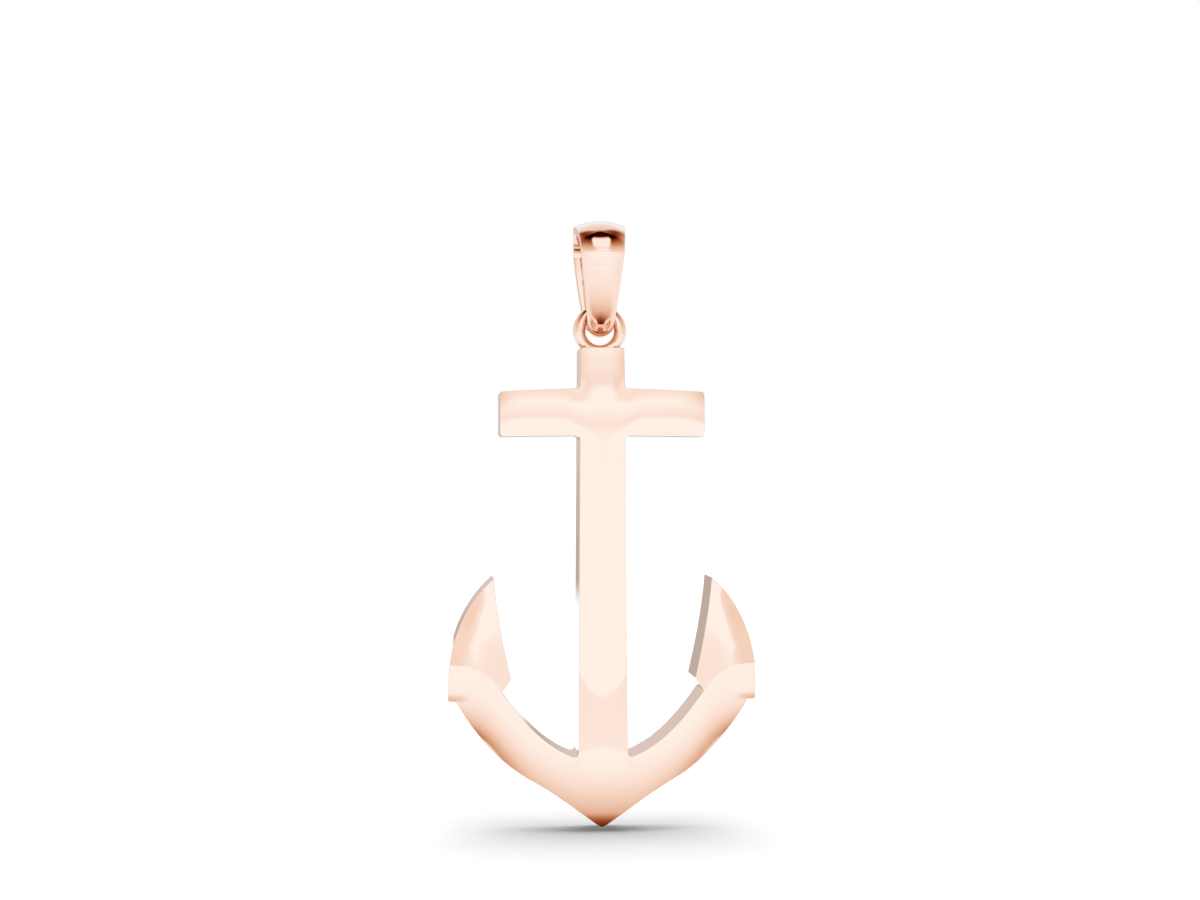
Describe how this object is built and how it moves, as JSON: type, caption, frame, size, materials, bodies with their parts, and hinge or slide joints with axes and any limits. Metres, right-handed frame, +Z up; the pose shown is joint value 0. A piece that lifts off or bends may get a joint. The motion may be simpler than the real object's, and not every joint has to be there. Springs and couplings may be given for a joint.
{
  "type": "anchor pendant with bail",
  "caption": "Polished rose-gold anchor pendant with arrow-shaped flukes, hanging by a soldered ring from a tapered bail.",
  "frame": {"origin": "inside the top of the bail's loop, where the chain bears and the pendant hangs", "axes": "+X across the anchor to its right fluke as seen from the front, the front faces -Y, +Z up along the shank"},
  "size_m": [0.0202, 0.0059, 0.0397],
  "materials": {
    "bail_gold": "mirror polished rose gold",
    "anchor_gold": "mirror polished rose gold"
  },
  "bodies": {
    "bail": {"bail": "bail_gold"},
    "anchor": {"anchor": "anchor_gold"}
  },
  "joints": [
    {"name": "anchor_swing", "type": "hinge", "parent": "bail", "child": "anchor", "pos_m": [0, 0, -0.00548], "axis": [1, 0, 0], "range_deg": [-45, 45]}
  ]
}
